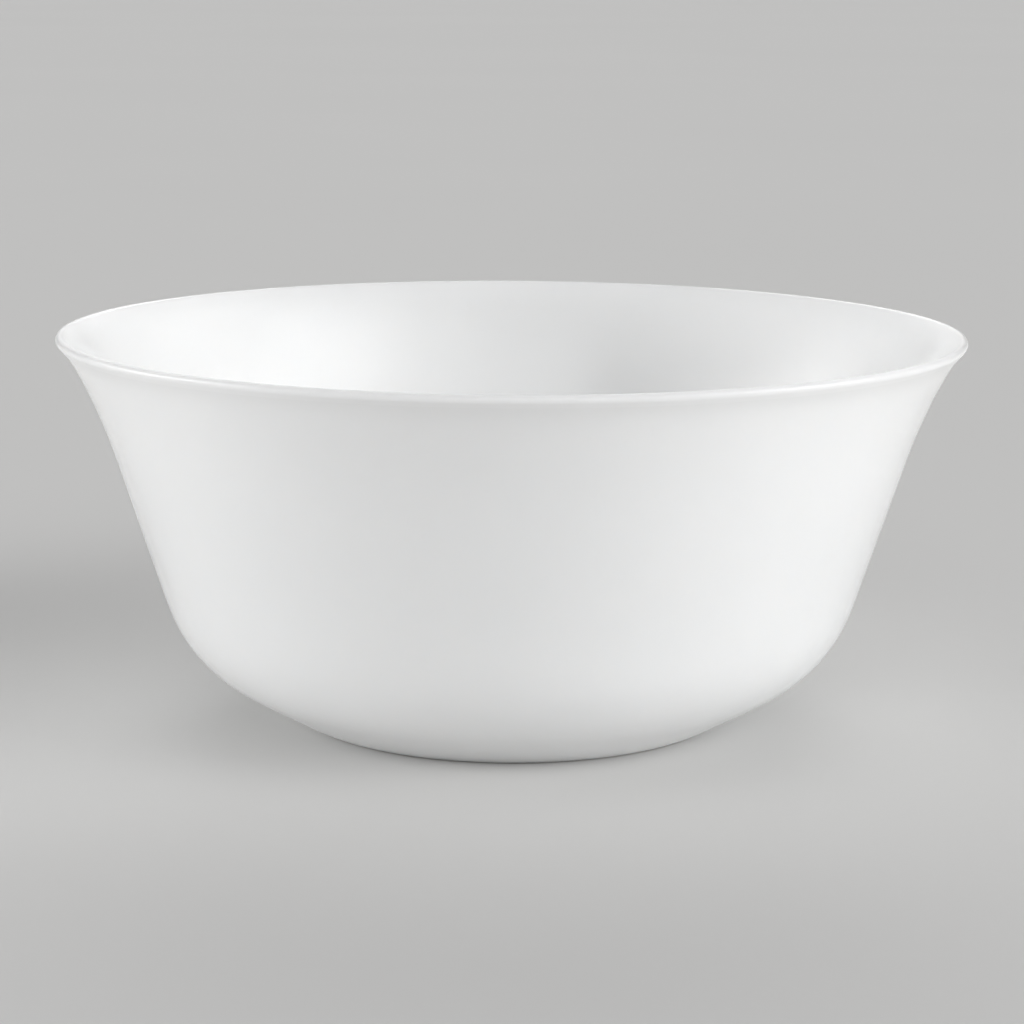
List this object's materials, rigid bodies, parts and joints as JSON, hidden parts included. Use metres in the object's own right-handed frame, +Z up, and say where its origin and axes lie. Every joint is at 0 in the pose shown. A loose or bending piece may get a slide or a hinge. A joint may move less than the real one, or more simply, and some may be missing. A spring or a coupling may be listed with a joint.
{
  "type": "flared bowl",
  "caption": "Deep round white dish in one piece, with a flared rounded lip, straight tapering wall, soft shoulder and a low foot ring, for holding liquids or food.",
  "frame": {"origin": "centre of the foot ring, on the surface that the dish stands on", "axes": "+Z up along the axis of the dish; the dish is round, so +X and +Y are free"},
  "size_m": [0.24, 0.24, 0.104],
  "materials": {
    "white_glaze": "gloss"
  },
  "bodies": {
    "root": {"bowl": "white_glaze"}
  },
  "joints": []
}
